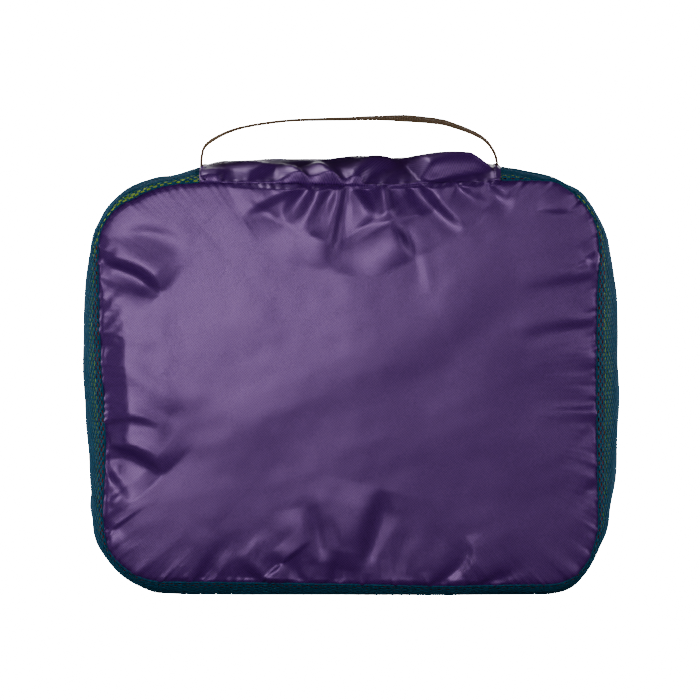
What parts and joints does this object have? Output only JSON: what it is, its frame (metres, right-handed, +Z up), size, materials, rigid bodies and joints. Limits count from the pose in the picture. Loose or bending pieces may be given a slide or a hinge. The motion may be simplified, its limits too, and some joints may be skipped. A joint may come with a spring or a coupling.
{
  "type": "packing cube",
  "caption": "Soft zipped packing cube standing on its lower gusset: plain crowned back, mesh gusset, webbing top handle and a fold-down zipped front lid.",
  "frame": {"origin": "centre of the bounding box on the floor, under the flat lower gusset", "axes": "+X along the width to the right of someone facing the plain back panel, +Y through the bag towards the zipped lid, +Z up towards the handle"},
  "size_m": [0.2746, 0.0768, 0.2443],
  "materials": {
    "purple_nylon": "satin woven nylon",
    "teal_mesh": "open knitted mesh",
    "lime_nylon": "satin woven nylon",
    "maroon_binding": "matte bias tape",
    "zip_tape": "matte ribbed tape",
    "zip_coil": "satin moulded coil",
    "brown_webbing": "ribbed webbing",
    "zip_metal": "satin dark metal"
  },
  "bodies": {
    "bag": {"back_panel": "purple_nylon", "back_seam_binding": "maroon_binding", "mesh_gusset_left": "teal_mesh", "mesh_gusset_bottom": "teal_mesh", "mesh_gusset_right": "teal_mesh", "top_panel": "purple_nylon", "top_panel_hem_left": "purple_nylon", "top_panel_hem_right": "purple_nylon", "front_rim": "lime_nylon", "front_lower_band": "lime_nylon", "front_seam_binding": "lime_nylon", "body_zip_tape": "zip_tape", "body_zip_coil": "zip_coil", "zip_chain_left": "zip_coil", "zip_chain_right": "zip_coil", "zip_end_tab_left": "lime_nylon", "zip_end_tab_right": "lime_nylon", "handle_anchor_left": "brown_webbing", "handle_anchor_right": "brown_webbing"},
    "lid": {"lid_panel": "lime_nylon", "lid_zip_tape": "zip_tape", "lid_zip_coil": "zip_coil"},
    "slider_left": {"zip_slider_left": "zip_metal"},
    "slider_right": {"zip_slider_right": "zip_metal"},
    "pull_left": {"pull_tab_left": "zip_metal", "pull_webbing_left": "brown_webbing"},
    "pull_right": {"pull_tab_right": "zip_metal", "pull_webbing_right": "brown_webbing"},
    "handle": {"handle_strap": "brown_webbing"}
  },
  "joints": [
    {"name": "lid_hinge", "type": "hinge", "parent": "bag", "child": "lid", "pos_m": [0, 0.0304, 0.045], "axis": [-1, 0, 0], "range_deg": [0, 100]},
    {"name": "zip_slide_left", "type": "slide", "parent": "bag", "child": "slider_left", "axis": [0, 0, 1], "range_m": [0, 0.134]},
    {"name": "zip_slide_right", "type": "slide", "parent": "bag", "child": "slider_right", "axis": [0, 0, 1], "range_m": [0, 0.134]},
    {"name": "pull_swing_left", "type": "hinge", "parent": "slider_left", "child": "pull_left", "pos_m": [-0.1169, 0.03495, 0.0345], "axis": [1, 0, 0], "range_deg": [0, 150]},
    {"name": "pull_swing_right", "type": "hinge", "parent": "slider_right", "child": "pull_right", "pos_m": [0.1169, 0.03495, 0.0345], "axis": [1, 0, 0], "range_deg": [0, 150]},
    {"name": "handle_swing", "type": "hinge", "parent": "bag", "child": "handle", "pos_m": [0, 0, 0.229], "axis": [1, 0, 0], "range_deg": [-65, 65]}
  ]
}
